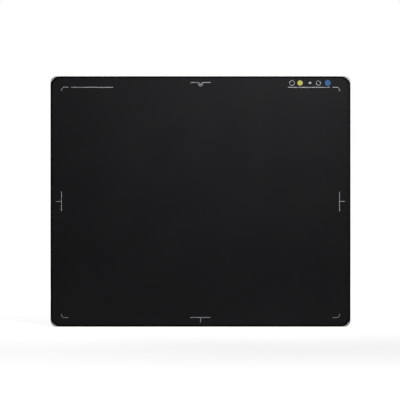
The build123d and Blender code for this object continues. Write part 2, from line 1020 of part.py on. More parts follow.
def cell_outlines():
    """Equal shares of the cell pocket, side by side."""
    share = 2 * (tray_half_width - battery_rail) / cell_count
    edge = cell_gap / 2
    outlines = []
    for middle_x in row(cell_count, share):
        left = middle_x - share / 2 + edge
        right = middle_x + share / 2 - edge
        outlines.append(rect(left, right, cell_low + edge, cell_high - edge, cell_corner))
    return outlines


def battery_cells():
    back = battery_cover_front - cell_slack
    return group([slab(outline, cell_front, back) for outline in cell_outlines()])


def battery_board():
    outline = battery_board_pocket(cell_gap / 2)
    return slab(outline, cell_front, cell_front + battery_board_thickness)


def battery_contacts():
    return group([slab(contact_pad_outline(x), battery_front, cell_front) for x in contact_places()])


# Battery contacts in the bay

def contact_block():
    """Insulating block that stands on the support plate and fills the opening in the bay floor."""
    block = slab(contact_outline(), plate_back + cable_thickness, bay_floor_back)
    for x in contact_places():
        block -= slab(spot(x, contact_z, contact_pin_radius), plate_back + cable_thickness, bay_floor_back)
    return block


def contact_pins():
    back = battery_front
    front = plate_back + cable_thickness
    return group([slab(spot(x, contact_z, contact_pin_radius), front, back) for x in contact_places()])


def contact_gasket():
    ring = contact_outline(contact_gasket_width) - contact_outline()
    return slab(ring, bay_floor_back, battery_front)


def power_lead():
    """Flat cable from the battery contacts along the support plate, up to the power board."""
    half = power_lead_width / 2
    low = contact_z - contact_block_height / 2
    bend = (bay_top + bay_wall + power_board_bottom) / 2
    end_x = (power_board_left + power_board_right) / 2
    end = power_board_bottom + power_lead_riser + board_hole_inset
    left, right = sorted((contact_x, end_x))
    outline = rect(contact_x - half, contact_x + half, low, bend + half)
    outline += rect(left - half, right + half, bend - half, bend + half)
    outline += rect(end_x - half, end_x + half, bend - half, end)
    lead = slab(outline, plate_back, plate_back + cable_thickness)
    riser = rect(end_x - half, end_x + half, end - power_lead_riser, end)
    return lead + slab(riser, plate_back, board_front)


# Boards

def holes_at(outline, places, radius):
    for x, z in places:
        outline -= spot(x, z, radius)
    return outline


def board_slab(outline):
    drilled = holes_at(outline, board_hole_places(), board_screw_radius + screw_clearance)
    return slab(drilled, board_front, board_back)


def main_board():
    return board_slab(rect(main_board_left, main_board_right, main_board_bottom, board_top))


def power_board():
    return board_slab(rect(power_board_left, power_board_right, power_board_bottom, board_top))


def readout_board():
    half = glass_half_width - readout_board_margin
    return board_slab(rect(-half, half, readout_board_bottom, readout_board_top))


def gate_board():
    low = middle - glass_half_height + gate_board_margin
    high = middle + glass_half_height - gate_board_margin
    return board_slab(rect(gate_board_left, gate_board_right, low, high))


def board_standoffs():
    posts = []
    for x, z in board_hole_places():
        ring = spot(x, z, standoff_radius) - spot(x, z, board_screw_radius)
        posts.append(slab(ring, plate_back, board_front))
    return group(posts)


def side_board_screws():
    inner = side_board_outer + board_thickness
    screws = []
    for drop in side_post_places():
        shank = side_slab(side_spot(drop, side_screw_radius), frame_wall, inner)
        head = side_slab(side_spot(drop, side_screw_head_radius), inner, inner + side_screw_head)
        screws.append(shank + head)
    return screws


def board_screws():
    screws = side_board_screws()
    for x, z in board_hole_places():
        shank = slab(spot(x, z, board_screw_radius), plate_back, board_back)
        head = slab(spot(x, z, board_screw_head_radius), board_back, board_back + board_screw_head)
        screws.append(shank + head)
    return group(screws)


def flex_profile(edge):
    """Side view of a flex that leaves the glass's front, wraps its edge and lands on a board's back."""
    front = scintillator_back - flex_thickness
    back = board_back + flex_thickness
    centre = (front + back) / 2
    outer = (back - front) / 2
    inner = outer - flex_thickness
    start = edge - flex_board_leg
    shape = rect(front, back, start, edge) + Pos(centre, edge) * Circle(outer)
    hollow = rect(front + flex_thickness, board_back, start, edge) + Pos(centre, edge) * Circle(inner)
    shape -= hollow
    return shape - rect(front, centre, start, edge - flex_bond_leg)


def readout_flexes():
    profile = flex_profile(glass_half_height)
    flexes = []
    for x in readout_places():
        corner = (x - readout_flex_width / 2, -depth / 2, middle)
        start = Plane(origin=corner, x_dir=(0, 1, 0), z_dir=(1, 0, 0))
        flexes.append(extrude(start * profile, amount=readout_flex_width))
    return group(flexes)


def gate_flexes():
    profile = flex_profile(glass_half_width)
    flexes = []
    for z in gate_places():
        if abs(z) + gate_flex_width / 2 < glass_half_height - gate_board_margin:
            corner = (0, -depth / 2, middle + z - gate_flex_width / 2)
            start = Plane(origin=corner, x_dir=(0, 1, 0), z_dir=(0, 0, 1))
            flexes.append(extrude(start * profile, amount=gate_flex_width))
    return group(flexes)


def readout_chips():
    front = board_back + flex_thickness
    z = middle + glass_half_height - flex_chip_inset
    outlines = [centred_strip(x, z, flex_chip_length, flex_chip_width) for x in readout_places()]
    return group([slab(outline, front, front + flex_chip_height) for outline in outlines])


def gate_chips():
    front = board_back + flex_thickness
    x = -glass_half_width + flex_chip_inset
    chips = []
    for z in gate_places():
        if abs(z) + gate_flex_width / 2 < glass_half_height - gate_board_margin:
            outline = centred_strip(x, middle + z, flex_chip_width, flex_chip_length)
            chips.append(slab(outline, front, front + flex_chip_height))
    return group(chips)


def processor_place():
    x = (main_board_left + main_board_right) / 2
    z = (main_board_bottom + board_top) / 2
    return x, z


def main_board_chips():
    """The processor under its shield, and two rows of memory beside it."""
    x, z = processor_place()
    processor = centred_strip(x, z, processor_size, processor_size)
    chips = [slab(processor, board_back, board_back + processor_height)]
    beside = can_size / 2 + memory_width
    for step in row(memory_count, memory_pitch):
        for side in (-1, 1):
            outline = centred_strip(x + side * beside, z + step, memory_width, memory_length)
            chips.append(slab(outline, board_back, board_back + memory_height))
    return group(chips)


def processor_shield():
    """Folded steel can over the processor."""
    x, z = processor_place()
    back = rear_cover_front - pad_thickness
    can = slab(centred_strip(x, z, can_size, can_size), board_back, back)
    inner = can_size - 2 * can_wall
    return can - slab(centred_strip(x, z, inner, inner), board_back, back - can_wall)


def thermal_pad():
    x, z = processor_place()
    size = can_size - 2 * can_wall
    return slab(centred_strip(x, z, size, size), rear_cover_front - pad_thickness, rear_cover_front)


def power_components():
    """Inductors and capacitors of the converters, as tall as the room behind the board allows."""
    x = (power_board_left + power_board_right) / 2
    z = (power_board_bottom + board_top) / 2
    back = board_back + component_room
    solids = []
    for column in row(inductor_columns, power_pitch):
        for step in row(inductor_rows, power_pitch):
            place = Pos(x + column, z + step)
            inductor = place * RectangleRounded(inductor_size, inductor_size, inductor_corner)
            solids.append(slab(inductor, board_back, back))
        capacitor = spot(x + column, z + inductor_rows * power_pitch, capacitor_radius)
        solids.append(slab(capacitor, board_back, back))
    return group(solids)


def wireless_card_edges():
    right = main_board_right - 2 * board_hole_inset
    top = board_top - 2 * board_hole_inset
    return right - card_width, right, top - card_height, top


def wireless_card():
    """Small card raised on its connector at the main board's corner."""
    left, right, bottom, top = wireless_card_edges()
    front = board_back + card_lift
    card = slab(rect(left, right, bottom, top), front, front + card_thickness)
    connector = rect(left + card_margin, right - card_margin, bottom, bottom + card_connector)
    card += slab(connector, board_back, front)
    can = rect(left + card_margin, right - card_margin, bottom + card_connector, top - card_connector)
    return card + slab(can, front, front + card_thickness + card_lift)


def antenna_cables():
    """Thin coaxial cables from the wireless card to each antenna."""
    left, right, bottom, top = wireless_card_edges()
    run_depth = board_back + card_lift + card_thickness + coax_radius
    z = top - card_connector / 2
    plane = Plane(origin=(0, run_depth - depth / 2, 0), x_dir=(1, 0, 0), z_dir=(0, -1, 0))
    cables = []
    for begin, x in zip((left + card_margin, right - card_margin), groove_places()):
        run = plane * Line((begin, z), (x, z))
        section = Plane(origin=run @ 0, z_dir=run % 0) * Circle(coax_radius)
        tail = slab(spot(x, z, coax_radius), run_depth, rear_cover_front - antenna_thickness)
        cables.append(sweep(section, path=run) + tail)
    return group(cables)


def board_link_cables():
    """Flat cables that join the main board to the other boards."""
    back = board_back + cable_thickness
    half = link_cable_width / 2
    z = main_board_bottom + link_cable_rise
    x = main_board_left + link_cable_inset
    strips = [
        rect(main_board_right - cable_overlap, power_board_left + cable_overlap, z - half, z + half),
        rect(gate_board_right - cable_overlap, main_board_left + cable_overlap, z - half, z + half),
        rect(x - half, x + half, board_top - cable_overlap, readout_board_bottom + cable_overlap),
    ]
    cables = [slab(strip, board_back, back) for strip in strips]
    half = side_cable_width / 2
    start = power_board_right - cable_overlap
    front = board_front - cable_thickness
    z = height - tether_drop
    end = width / 2 - socket_reach - tether_pin_tail
    cables.append(slab(rect(start, end, z - half, z + half), front, board_front))
    z = height - power_button_drop
    end = width / 2 - side_board_outer - board_thickness
    cables.append(slab(rect(start, end, z - half, z + half), front, board_front))
    return group(cables)


# Right side edge

def tether_socket():
    """Shallow oval socket for a charging and data lead that clings to it by magnets."""
    body = side_slab(side_slot(tether_drop, socket_length, socket_thickness), socket_sink, socket_reach)
    grow = 2 * socket_flange
    flange_outline = side_rect(tether_drop, socket_length + grow, socket_flange_width)
    body += side_slab(flange_outline, frame_wall, frame_wall + socket_flange_thickness)
    recess = side_slot(tether_drop, socket_recess_length, socket_recess_width)
    floor = socket_sink + socket_recess_depth
    body -= side_slab(recess, socket_sink, floor)
    for drop in magnet_drops():
        body -= side_slab(side_spot(drop, magnet_radius), socket_reach - magnet_length, socket_reach)
    for drop in tether_pin_drops():
        body -= side_slab(side_spot(drop, tether_pin_radius), floor, socket_reach)
    return body


def magnet_drops():
    return [tether_drop - magnet_place, tether_drop + magnet_place]


def tether_pin_drops():
    return [tether_drop + step for step in row(tether_pin_count, tether_pin_pitch)]


def tether_pins():
    outer = socket_sink + socket_recess_depth - tether_pin_height
    inner = socket_reach + tether_pin_tail
    return group([side_slab(side_spot(drop, tether_pin_radius), outer, inner) for drop in tether_pin_drops()])


def tether_magnets():
    outer = socket_reach - magnet_length
    return group([side_slab(side_spot(drop, magnet_radius), outer, socket_reach) for drop in magnet_drops()])


def button_seal():
    """Silicone sheet behind the wall, which both button flanges rest on."""
    top = power_button_drop - button_seal_margin
    bottom = link_button_drop + button_seal_margin / 2
    outline = side_rect((top + bottom) / 2, bottom - top, button_seal_width)
    length = power_button_length + 2 * button_gap
    outline -= side_slot(power_button_drop, length, power_button_width + 2 * button_gap)
    outline -= side_spot(link_button_drop, link_button_radius + button_gap)
    return side_slab(outline, frame_wall, frame_wall + button_seal_thickness)


def button_on(drop, face, flange):
    """Cap, flange and stem of one push button."""
    flange_outer = frame_wall + button_seal_thickness
    flange_inner = flange_outer + button_flange_thickness
    button = side_slab(face, button_sink, flange_outer)
    button += side_slab(flange, flange_outer, flange_inner)
    stem = side_spot(drop, button_stem_radius)
    return button + side_slab(stem, flange_inner, flange_inner + button_stem_length)


def power_button():
    face = side_slot(power_button_drop, power_button_length, power_button_width)
    grow = 2 * button_flange
    flange = side_slot(power_button_drop, power_button_length + grow, power_button_width + grow)
    return button_on(power_button_drop, face, flange)


def link_button():
    face = side_spot(link_button_drop, link_button_radius)
    flange = side_spot(link_button_drop, link_button_radius + button_flange)
    return button_on(link_button_drop, face, flange)


def dome_at(drop):
    """Hollow silicone dome between a button's stem and the switch board."""
    outer = side_board_outer - dome_height
    dome = side_slab(side_spot(drop, dome_radius), outer, side_board_outer)
    hollow = side_spot(drop, dome_radius - 2 * dome_skin)
    return dome - side_slab(hollow, outer + dome_skin, side_board_outer)


def power_button_dome():
    return dome_at(power_button_drop)


def link_button_dome():
    return dome_at(link_button_drop)


def status_light_guides():
    """Three clear pins on one bar, which carry the status lights to the frame's outside."""
    bar_inner = frame_wall + light_bar_thickness
    drops = light_drops()
    span = drops[-1] - drops[0] + light_bar_width
    bar = side_rect((drops[0] + drops[-1]) / 2, span, light_bar_width)
    guide = side_slab(bar, frame_wall, bar_inner)
    for drop in drops:
        guide += side_slab(side_spot(drop, light_radius), light_sink, side_board_outer - led_height)
    return guide


def status_leds():
    leds = []
    for drop in light_drops():
        outline = side_rect(drop, led_size, led_size)
        leds.append(side_slab(outline, side_board_outer - led_height, side_board_outer))
    return group(leds)


def side_switch_board():
    drop = side_board_top_drop + side_board_length / 2
    outline = side_rect(drop, side_board_length, side_board_width)
    for post in side_post_places():
        outline -= side_spot(post, side_screw_radius + screw_clearance)
    return side_slab(outline, side_board_outer, side_board_outer + board_thickness)


pieces = [
    front_cover, alignment_marks, indicator_dots, front_seal_tape,
    impact_foam, scintillator_screen, sensor_glass, scatter_shield, sensor_bond_sheet,
    support_plate, support_plate_screws, corner_cushions, side_frame,
    rear_cover, rear_gasket, rear_cover_screws, antenna_windows, antennas, antenna_cables,
    battery_bay, lock_slider_left, lock_slider_right,
    battery_tray, battery_cover, battery_screws, battery_cells, lock_strikes,
    battery_board, battery_contacts, contact_block, contact_pins, contact_gasket, power_lead,
    main_board, main_board_chips, processor_shield, thermal_pad, wireless_card,
    power_board, power_components, readout_board, readout_flexes, readout_chips,
    gate_board, gate_flexes, gate_chips, board_standoffs, board_screws, board_link_cables,
    tether_socket, tether_pins, tether_magnets,
    power_button, link_button, button_seal, power_button_dome, link_button_dome,
    status_light_guides, status_leds, side_switch_board,
]

os.makedirs("parts", exist_ok=True)
for make in pieces:
    export_step(make(), f"parts/{make.__name__}.step")
print(len(pieces), "pieces written")
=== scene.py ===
# %% [markdown]
# # A flat panel x-ray detector
#
# The detector is a thin box about the size of a film cassette. Its front is a near black
# plate that x-rays pass through, held in a light alloy frame whose grey corners show past
# the plate's rounder ones. The back carries a battery, two finger grooves and two antenna
# windows. The solid model gives every piece its true size and place, and this script
# gives the pieces their soft edges, their finishes and a plain studio to stand in.

# %% Start from the solid model
import json
import math

import bmesh
import bpy
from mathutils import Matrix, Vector


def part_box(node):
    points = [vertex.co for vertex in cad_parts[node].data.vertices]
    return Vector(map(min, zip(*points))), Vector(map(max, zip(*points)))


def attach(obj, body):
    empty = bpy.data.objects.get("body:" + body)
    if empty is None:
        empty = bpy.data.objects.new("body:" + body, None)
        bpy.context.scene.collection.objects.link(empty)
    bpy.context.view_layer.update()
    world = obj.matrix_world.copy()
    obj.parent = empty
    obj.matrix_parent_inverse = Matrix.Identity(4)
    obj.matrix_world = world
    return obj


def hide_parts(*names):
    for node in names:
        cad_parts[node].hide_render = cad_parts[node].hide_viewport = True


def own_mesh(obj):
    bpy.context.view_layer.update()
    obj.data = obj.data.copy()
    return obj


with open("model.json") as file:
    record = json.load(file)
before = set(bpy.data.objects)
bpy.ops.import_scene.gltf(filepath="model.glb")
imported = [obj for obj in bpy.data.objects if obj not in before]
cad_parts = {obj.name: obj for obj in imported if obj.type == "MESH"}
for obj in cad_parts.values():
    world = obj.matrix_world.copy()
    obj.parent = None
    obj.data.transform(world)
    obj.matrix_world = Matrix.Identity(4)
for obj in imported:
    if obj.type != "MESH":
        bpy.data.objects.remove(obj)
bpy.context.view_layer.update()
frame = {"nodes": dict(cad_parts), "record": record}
MM = 0.001


def in_mm(box, digits=1):
    """The two corners of a box in millimetres, for printing."""
    return [[round(value / MM, digits) for value in corner] for corner in box]


# %% [markdown]
# ## Shader maths that reads like sums
#
# A finish is a small sum: a base colour, a little grain, a worn edge. In the editor each
# step is a node and a noodle. Here one class wraps a node's output, so that `1 - mask` or
# `grain * 0.2` adds the Math node by itself and the recipe can be read from left to right.

# %% A wrapper for node outputs
class Wire:
    """One output of a node, on which Python's operators build Math nodes."""

    def __init__(self, recipe, socket):
        self.recipe = recipe
        self.socket = socket

    def outputs(self, *names):
        """Outputs of the node that this wire comes from, by name."""
        return [Wire(self.recipe, self.socket.node.outputs[name]) for name in names]

    def maths(self, operation, *others):
        """A Math node whose first value is this wire."""
        return self.recipe.maths(operation, self, *others)

    def swing(self, span):
        """A pattern from 0 to 1 turned into a swing about 0, this wide in all."""
        return (self - 0.5) * span

    def __add__(self, other):
        return self.maths("ADD", other)

    def __sub__(self, other):
        return self.maths("SUBTRACT", other)

    def __rsub__(self, other):
        return self.recipe.maths("SUBTRACT", other, self)

    def __mul__(self, other):
        return self.maths("MULTIPLY", other)

    def __truediv__(self, other):
        return self.maths("DIVIDE", other)

    def __rtruediv__(self, other):
        return self.recipe.maths("DIVIDE", other, self)

    def __abs__(self):
        return self.maths("ABSOLUTE")

    def __gt__(self, other):
        return self.maths("GREATER_THAN", other)

    __radd__ = __add__
    __rmul__ = __mul__


print("a wire understands + - * / > and abs()")

# %% [markdown]
# ## One method for every node
#
# A node tree gets one method that adds any node: its type, then its settings, such as a
# Math node's operation or a ramp's stops, then what goes into its sockets. The settings
# come first because they can change which sockets a node has.

# %% The tree class
class Tree:
    """A node tree, to which nodes are added and joined."""

    def __init__(self, tree):
        self.tree = tree

    def feed(self, socket, value):
        """Link a wire to a socket, or set the socket's own value."""
        if isinstance(value, Wire):
            self.tree.links.new(value.socket, socket)
        elif socket.type == "RGBA":
            socket.default_value = (*value, 1.0)
        else:
            socket.default_value = value

    def add(self, kind, settings=None, sockets=None, output=0):
        """Any node: its type, its settings first, then its sockets by name or number."""
        node = self.tree.nodes.new(kind)
        for name, value in (settings or {}).items():
            if name == "stops":
                self.set_stops(node.color_ramp, value)
            else:
                setattr(node, name, value)
        for name, value in (sockets or {}).items():
            self.feed(node.inputs[name], value)
        return Wire(self, node.outputs[output])

    def set_stops(self, ramp, stops):
        """Stops of a colour ramp: pairs of a position and the colour that starts there."""
        ramp.interpolation = "CONSTANT"
        while len(ramp.elements) < len(stops):
            ramp.elements.new(1.0)
        for element, (position, colour) in zip(ramp.elements, stops):
            element.position = position
            element.color = (*colour, 1.0)


print("any node now takes one line")

# %% [markdown]
# ## Short names for the nodes used most
#
# Four kinds of node come up all the time, so a recipe is a tree that has a word for each.
# Colours pass through a Mix node, because a Math node would turn them grey. That node has
# a row of sockets for each kind of value, and its colours are inputs 6 and 7 and output 2.

# %% The recipe class
class Recipe(Tree):
    """A node tree with words for splitting, sums, blends and soft steps."""

    def split(self, vector):
        """The three parts of a vector, as three wires."""
        return self.add("ShaderNodeSeparateXYZ", sockets={0: vector}).outputs("X", "Y", "Z")

    def maths(self, operation, *values):
        """A Math node on numbers and wires."""
        return self.add("ShaderNodeMath", {"operation": operation}, dict(enumerate(values)))

    def blend(self, amount, first, second):
        """A colour between two colours."""
        sockets = {0: amount, 6: first, 7: second}
        return self.add("ShaderNodeMix", {"data_type": "RGBA"}, sockets, output=2)

    def soft_step(self, value, low, high):
        """0 below low, 1 above high and a soft rise between."""
        settings = {"interpolation_type": "SMOOTHSTEP"}
        sockets = {"Value": value, "From Min": low, "From Max": high}
        return self.add("ShaderNodeMapRange", settings, sockets)


print("a recipe can split, add up, blend and step")

# %% [markdown]
# ## One class for a finish
#
# Every finish here is a Principled shader with patterns fed into it. Patterns read Object
# coordinates. Every object sits at the origin, so those are plain distances in metres on
# the real detector, and a pattern keeps its true scale. Only colour, roughness, metallic and
# the bump change over a surface. What is the same all over is set on the shader itself.

# %% The finish class
finishes = {}
recorded = {slot["slot"]: tuple(slot["base_color"][:3]) for slot in frame["record"]["materials"]}


class Finish(Recipe):
    """A material being made, which puts itself on the list of finishes."""

    def __init__(self, name, **constants):
        self.material = bpy.data.materials.new(name)
        self.material.use_nodes = True
        super().__init__(self.material.node_tree)
        self.shader = self.tree.nodes["Principled BSDF"]
        for socket, value in constants.items():
            self.give(socket.replace("_", " "), value)
        self.place = self.add("ShaderNodeTexCoord", output="Object")
        finishes[name] = self

    def give(self, socket, value):
        """Feed one of the shader's own sockets."""
        self.feed(self.shader.inputs[socket], value)

    def colour(self, value):
        """Feed the base colour."""
        self.give("Base Color", value)

    def roughness(self, value):
        """Feed the roughness."""
        self.give("Roughness", value)

    def bump(self, height, depth):
        """Relief in the shading, as deep as this in metres where the height goes from 0 to 1."""
        sockets = {"Height": height, "Distance": depth, "Strength": 1.0}
        self.give("Normal", self.add("ShaderNodeBump", sockets=sockets))

    def axes(self):
        """The place on the piece as three distances in metres."""
        return self.split(self.place)

    def noise(self, size, detail=2.0, rough=0.5):
        """Cloudy noise from 0 to 1 whose patches are about this size in metres."""
        sockets = {"Vector": self.place, "Scale": 1 / size, "Detail": detail, "Roughness": rough}
        return self.add("ShaderNodeTexNoise", sockets=sockets)

    def mottle(self, pattern, base, spread):
        """The base colour, darker by this share where a pattern is 0 and lighter where it is 1."""
        darker = [part * (1 - spread) for part in base]
        lighter = [part * (1 + spread) for part in base]
        return self.blend(pattern, darker, lighter)


print(len(recorded), "finishes in the record")

# %% [markdown]
# ## Moulded plastic
#
# Moulded parts come out of a steel tool whose walls are spark eroded, which leaves an even
# pebbled grain. The grain could be a displaced mesh, but at less than a fifth of a
# millimetre it only changes how light scatters, so it is a bump. Slow changes in roughness
# stand for handling, and a slight change in tone keeps large flat areas from looking
# computed.

# %% The moulded recipe
handling_size = 60 * MM
tone_size = 9 * MM


def moulded(slot, roughness, grain, grain_depth, specular=0.4):
    """Plastic or paint with a pebbled grain of this size and depth in metres."""
    finish = Finish(slot, Specular_IOR_Level=specular)
    settings = {"feature": "SMOOTH_F1"}
    sockets = {"Vector": finish.place, "Scale": 1 / grain, "Smoothness": 0.6}
    pebbles = 1 - finish.add("ShaderNodeTexVoronoi", settings, sockets)
    fine = finish.noise(grain / 3)
    handling = finish.noise(handling_size, detail=3.0)
    tone = finish.soft_step(finish.noise(tone_size), 0.2, 0.8)
    skin = finish.mottle(tone, recorded[slot], 0.07)
    finish.colour(skin)
    finish.roughness(roughness + handling.swing(0.08) - pebbles.swing(0.1))
    finish.bump(pebbles * 0.8 + fine * 0.2, grain_depth)
    return finish, skin


rear_shell, rear_skin = moulded("rear_shell", 0.5, 0.9 * MM, 0.16 * MM, specular=0.3)
moulded("battery_shell", 0.46, 0.6 * MM, 0.08 * MM, specular=0.35)
moulded("bay_plastic", 0.55, 0.6 * MM, 0.06 * MM)
moulded("window_plastic", 0.4, 0.5 * MM, 0.02 * MM)
moulded("lock_plastic", 0.42, 0.3 * MM, 0.02 * MM)
moulded("button_plastic", 0.4, 0.25 * MM, 0.015 * MM)
moulded("socket_plastic", 0.35, 0.3 * MM, 0.01 * MM)
moulded("chip_black", 0.5, 0.15 * MM, 0.01 * MM)
moulded("component_mix", 0.45, 0.2 * MM, 0.01 * MM)
print("moulded:", sorted(finishes))

# %% [markdown]
# ## Darker finger grooves
#
# The detector is carried by two long grooves in its back, which are coloured darker than the flat skin
# around them. The grooves are the only sunken places at that distance from the middle, so a test on two
# coordinates finds them.

# %% Darken the grooves
groove_middle = 185 * MM
groove_width = 14 * MM
groove_margin = 1 * MM
just_below_skin = 7 * MM
groove_black = (0.012, 0.013, 0.014)
groove_darkening = 0.6

shell_x, shell_y, _ = rear_shell.axes()
beside = abs(abs(shell_x) - groove_middle) > groove_width / 2 + groove_margin
in_groove = (1 - beside) * (1 - (shell_y > just_below_skin))
# The grooves are coloured darker than the skin around them.
rear_shell.colour(rear_shell.blend(in_groove * groove_darkening, rear_skin, groove_black))
print("grooves", round(groove_middle / MM), "mm from the middle")

# %% [markdown]
# ## Anodised and machined metal
#
# The frame is blasted with fine beads and then anodised grey. Blasting leaves a matt skin
# without direction, so the grain is fine noise, and the oxide takes most of the metal's
# mirror away: the shader is only partly metallic. Turned screws, rolled foil and drawn cans
# keep their shine. The marks on the cans run one way, which comes from stretching the noise.

# %% The metal recipe
cloud_size = 25 * MM


def metal(slot, roughness, metallic=1.0, grain=0.2 * MM, grain_depth=0.002 * MM, stretch=None):
    """Metal with a fine grain, drawn out along one axis if a stretch is given."""
    finish = Finish(slot, Metallic=metallic, Specular_IOR_Level=0.35)
    if stretch:
        sockets = {"Vector": finish.place, "Scale": stretch}
        finish.place = finish.add("ShaderNodeMapping", sockets=sockets)
    fine = finish.noise(grain)
    cloud = finish.noise(cloud_size, detail=3.0)
    finish.colour(finish.mottle(cloud, recorded[slot], 0.1))
    finish.roughness(roughness + fine.swing(0.1) + cloud.swing(0.08))
    finish.bump(fine, grain_depth)


metal("frame_metal", 0.54, metallic=0.12, grain=0.4 * MM, grain_depth=0.05 * MM)
metal("plate_metal", 0.45, grain=0.5 * MM, grain_depth=0.01 * MM)
metal("screen_plate", 0.6, metallic=0.2)
metal("shield_metal", 0.55)
metal("can_metal", 0.3, stretch=(1.0, 1.0, 0.04))
metal("contact_gold", 0.22)
metal("screw_steel", 0.3)
metal("screw_black", 0.42, metallic=0.8)
metal("magnet_metal", 0.25)
metal("cell_foil", 0.32, grain=1.5 * MM, grain_depth=0.03 * MM)
print(len(finishes), "finishes so far")

# %% [markdown]
# ## The satin front
#
# The front plate is carbon fibre under a thin satin lacquer, almost black. Three things show on it: the
# lacquer's faint orange peel, slow clouds where hands have touched it, and a darker strip round the rim,
# which is painted shade standing for the dark seam between the plate and the frame. The strip needs the
# distance to the nearest edge of a rectangle with round corners, which is a short sum on two coordinates.
# Metallic rises in the strip, although the lacquer is no metal: a metal reflects in its own colour, so a
# nearly black one stays dull from every side.

# %% Distance in from a round-cornered outline
def distance_inside(finish, half_width, half_height, middle_height, corner):
    """How far a place lies inside the outline on the front view, in metres."""
    x, _, z = finish.axes()
    across = abs(x) - (half_width - corner)
    up = abs(z - middle_height) - (half_height - corner)
    out_across = across.maths("MAXIMUM", 0.0)
    out_up = up.maths("MAXIMUM", 0.0)
    round_part = (out_across * out_across + out_up * out_up).maths("SQRT")
    straight_part = across.maths("MAXIMUM", up).maths("MINIMUM", 0.0)
    return corner - (round_part + straight_part)


cover_low, cover_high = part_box("front_cover")
cover_half_width = (cover_high.x - cover_low.x) / 2
cover_half_height = (cover_high.z - cover_low.z) / 2
cover_middle = (cover_high.z + cover_low.z) / 2
cover_corner = 15.7 * MM
print("front cover in mm", in_mm((cover_low, cover_high), 2))

# %% The front finish
seam_shade_starts = (0.2 * MM, 0.7 * MM)
seam_shade_ends = (2.4 * MM, 3.2 * MM)
untouched_black, touched_black = (0.0036, 0.0038, 0.0045), (0.0042, 0.0044, 0.0051)
# Painted shade: the black of the dark seam round the rim.
painted_seam_shade_black = (0.0010, 0.0010, 0.0012)

satin = Finish("carbon_cover", Specular_IOR_Level=0.14)
peel = satin.noise(1.1 * MM)
speckle = satin.noise(0.35 * MM, detail=1.0)
touched = satin.soft_step(satin.noise(70 * MM, detail=4.0, rough=0.55), 0.35, 0.75)
inside = distance_inside(satin, cover_half_width, cover_half_height, cover_middle, cover_corner)
# The dark rim is painted shade for the seam between the plate and the frame.
painted_seam_shade = satin.soft_step(inside, *seam_shade_starts) * (1 - satin.soft_step(inside, *seam_shade_ends))
lacquer = satin.blend(touched, untouched_black, touched_black)
satin.colour(satin.blend(painted_seam_shade, lacquer, painted_seam_shade_black))
satin.roughness(0.48 + touched * 0.04 + speckle.swing(0.05) + painted_seam_shade * 0.2)
satin.give("Metallic", painted_seam_shade * 0.75)
satin.bump(peel * 0.6 + speckle * 0.4, 0.006 * MM)
print("dark band", round((seam_shade_ends[0] - seam_shade_starts[1]) / MM, 1), "mm wide")

# %% [markdown]
# ## Printed marks
#
# The marks are screen printed in pale grey epoxy ink. Print is never quite even: the mesh
# of the screen leaves tiny dots of thin ink. The round spots are one node in the solid
# model, so they take their colour from where they stand along the row: a colour ramp with
# hard steps changes it in the gaps between them.

# %% Ink
def ink(slot):
    """Printing ink, and a pattern that is 1 where the film is full and 0 where it is thin."""
    finish = Finish(slot, Roughness=0.55, Specular_IOR_Level=0.3)
    full = finish.soft_step(finish.noise(0.3 * MM, detail=1.0), 0.3, 0.7)
    finish.bump(full, 0.004 * MM)
    return finish, full


thin_grey, full_grey = (0.22, 0.225, 0.235), (0.27, 0.275, 0.285)
grey_ink, grey_film = ink("grey_ink")
grey_ink.colour(grey_ink.blend(grey_film, thin_grey, full_grey))
print("grey ink ready")

# %% The colours of the spots
row_start = 130 * MM
row_length = 80 * MM
spot_grey, spot_yellow, spot_blue = (0.25, 0.255, 0.265), (0.31, 0.28, 0.055), (0.010, 0.062, 0.17)
ground_grey = (0.05, 0.05, 0.05)
colour_starts = [
    (130 * MM, spot_grey),
    (147.6 * MM, spot_yellow),
    (160.4 * MM, spot_grey),
    (187.6 * MM, spot_blue),
]

spot_ink, spot_film = ink("spot_ink")
spot_x = spot_ink.axes()[0]
stops = [((start - row_start) / row_length, colour) for start, colour in colour_starts]
tint = spot_ink.add("ShaderNodeValToRGB", {"stops": stops}, {0: (spot_x - row_start) / row_length})
thin_tint = spot_ink.blend(0.12, tint, ground_grey)
spot_ink.colour(spot_ink.blend(spot_film, thin_tint, tint))
print("spot colours change at", [round(start / MM, 1) for start, _ in colour_starts], "mm")

# %% [markdown]
# ## Soft parts
#
# Silicone and foam scatter light in all directions and pick up dust. Foam has open
# pinholes, which come from thresholding a cell pattern, and silicone only has a dull bloom.

# %% Rubber and foam
bloom_size = 6 * MM
skin_size = 0.4 * MM


def soft(slot, roughness, pore=None):
    """Rubber, or foam with open pores of about this size in metres."""
    finish = Finish(slot, Specular_IOR_Level=0.25)
    bloom = finish.noise(bloom_size, detail=3.0)
    finish.colour(finish.mottle(bloom, recorded[slot], 0.15))
    relief = finish.noise(skin_size)
    if pore:
        cells = finish.add("ShaderNodeTexVoronoi", sockets={"Vector": finish.place, "Scale": 1 / pore})
        relief = finish.soft_step(cells, 0.1, 0.5)
    finish.bump(relief, 0.02 * MM)
    finish.roughness(roughness + bloom.swing(0.1))


soft("silicone", 0.62)
soft("tape", 0.8, pore=0.5 * MM)
soft("cushion_foam", 0.9, pore=0.8 * MM)
soft("thermal_grey", 0.75)
soft("coax_black", 0.5)
print(len(finishes), "finishes so far")

# %% [markdown]
# ## Clear parts
#
# The status lights are frosted light guides with small white lamps behind them, and the
# sensor is thin display glass. None of them is lit, so they need only pass a little light
# and keep a soft shine. The glass carries a grid of fine lines between its cells, which
# comes from the fraction left when a distance is divided by the pitch.

# %% Light guides and lamps
dull_frost, bright_frost = (0.66, 0.69, 0.71), (0.80, 0.83, 0.85)
guide = Finish("light_plastic", Transmission_Weight=0.4, IOR=1.49)
haze = guide.noise(0.5 * MM)
guide.colour(guide.blend(haze, dull_frost, bright_frost))
guide.roughness(0.32 + haze * 0.12)
guide.bump(haze, 0.004 * MM)

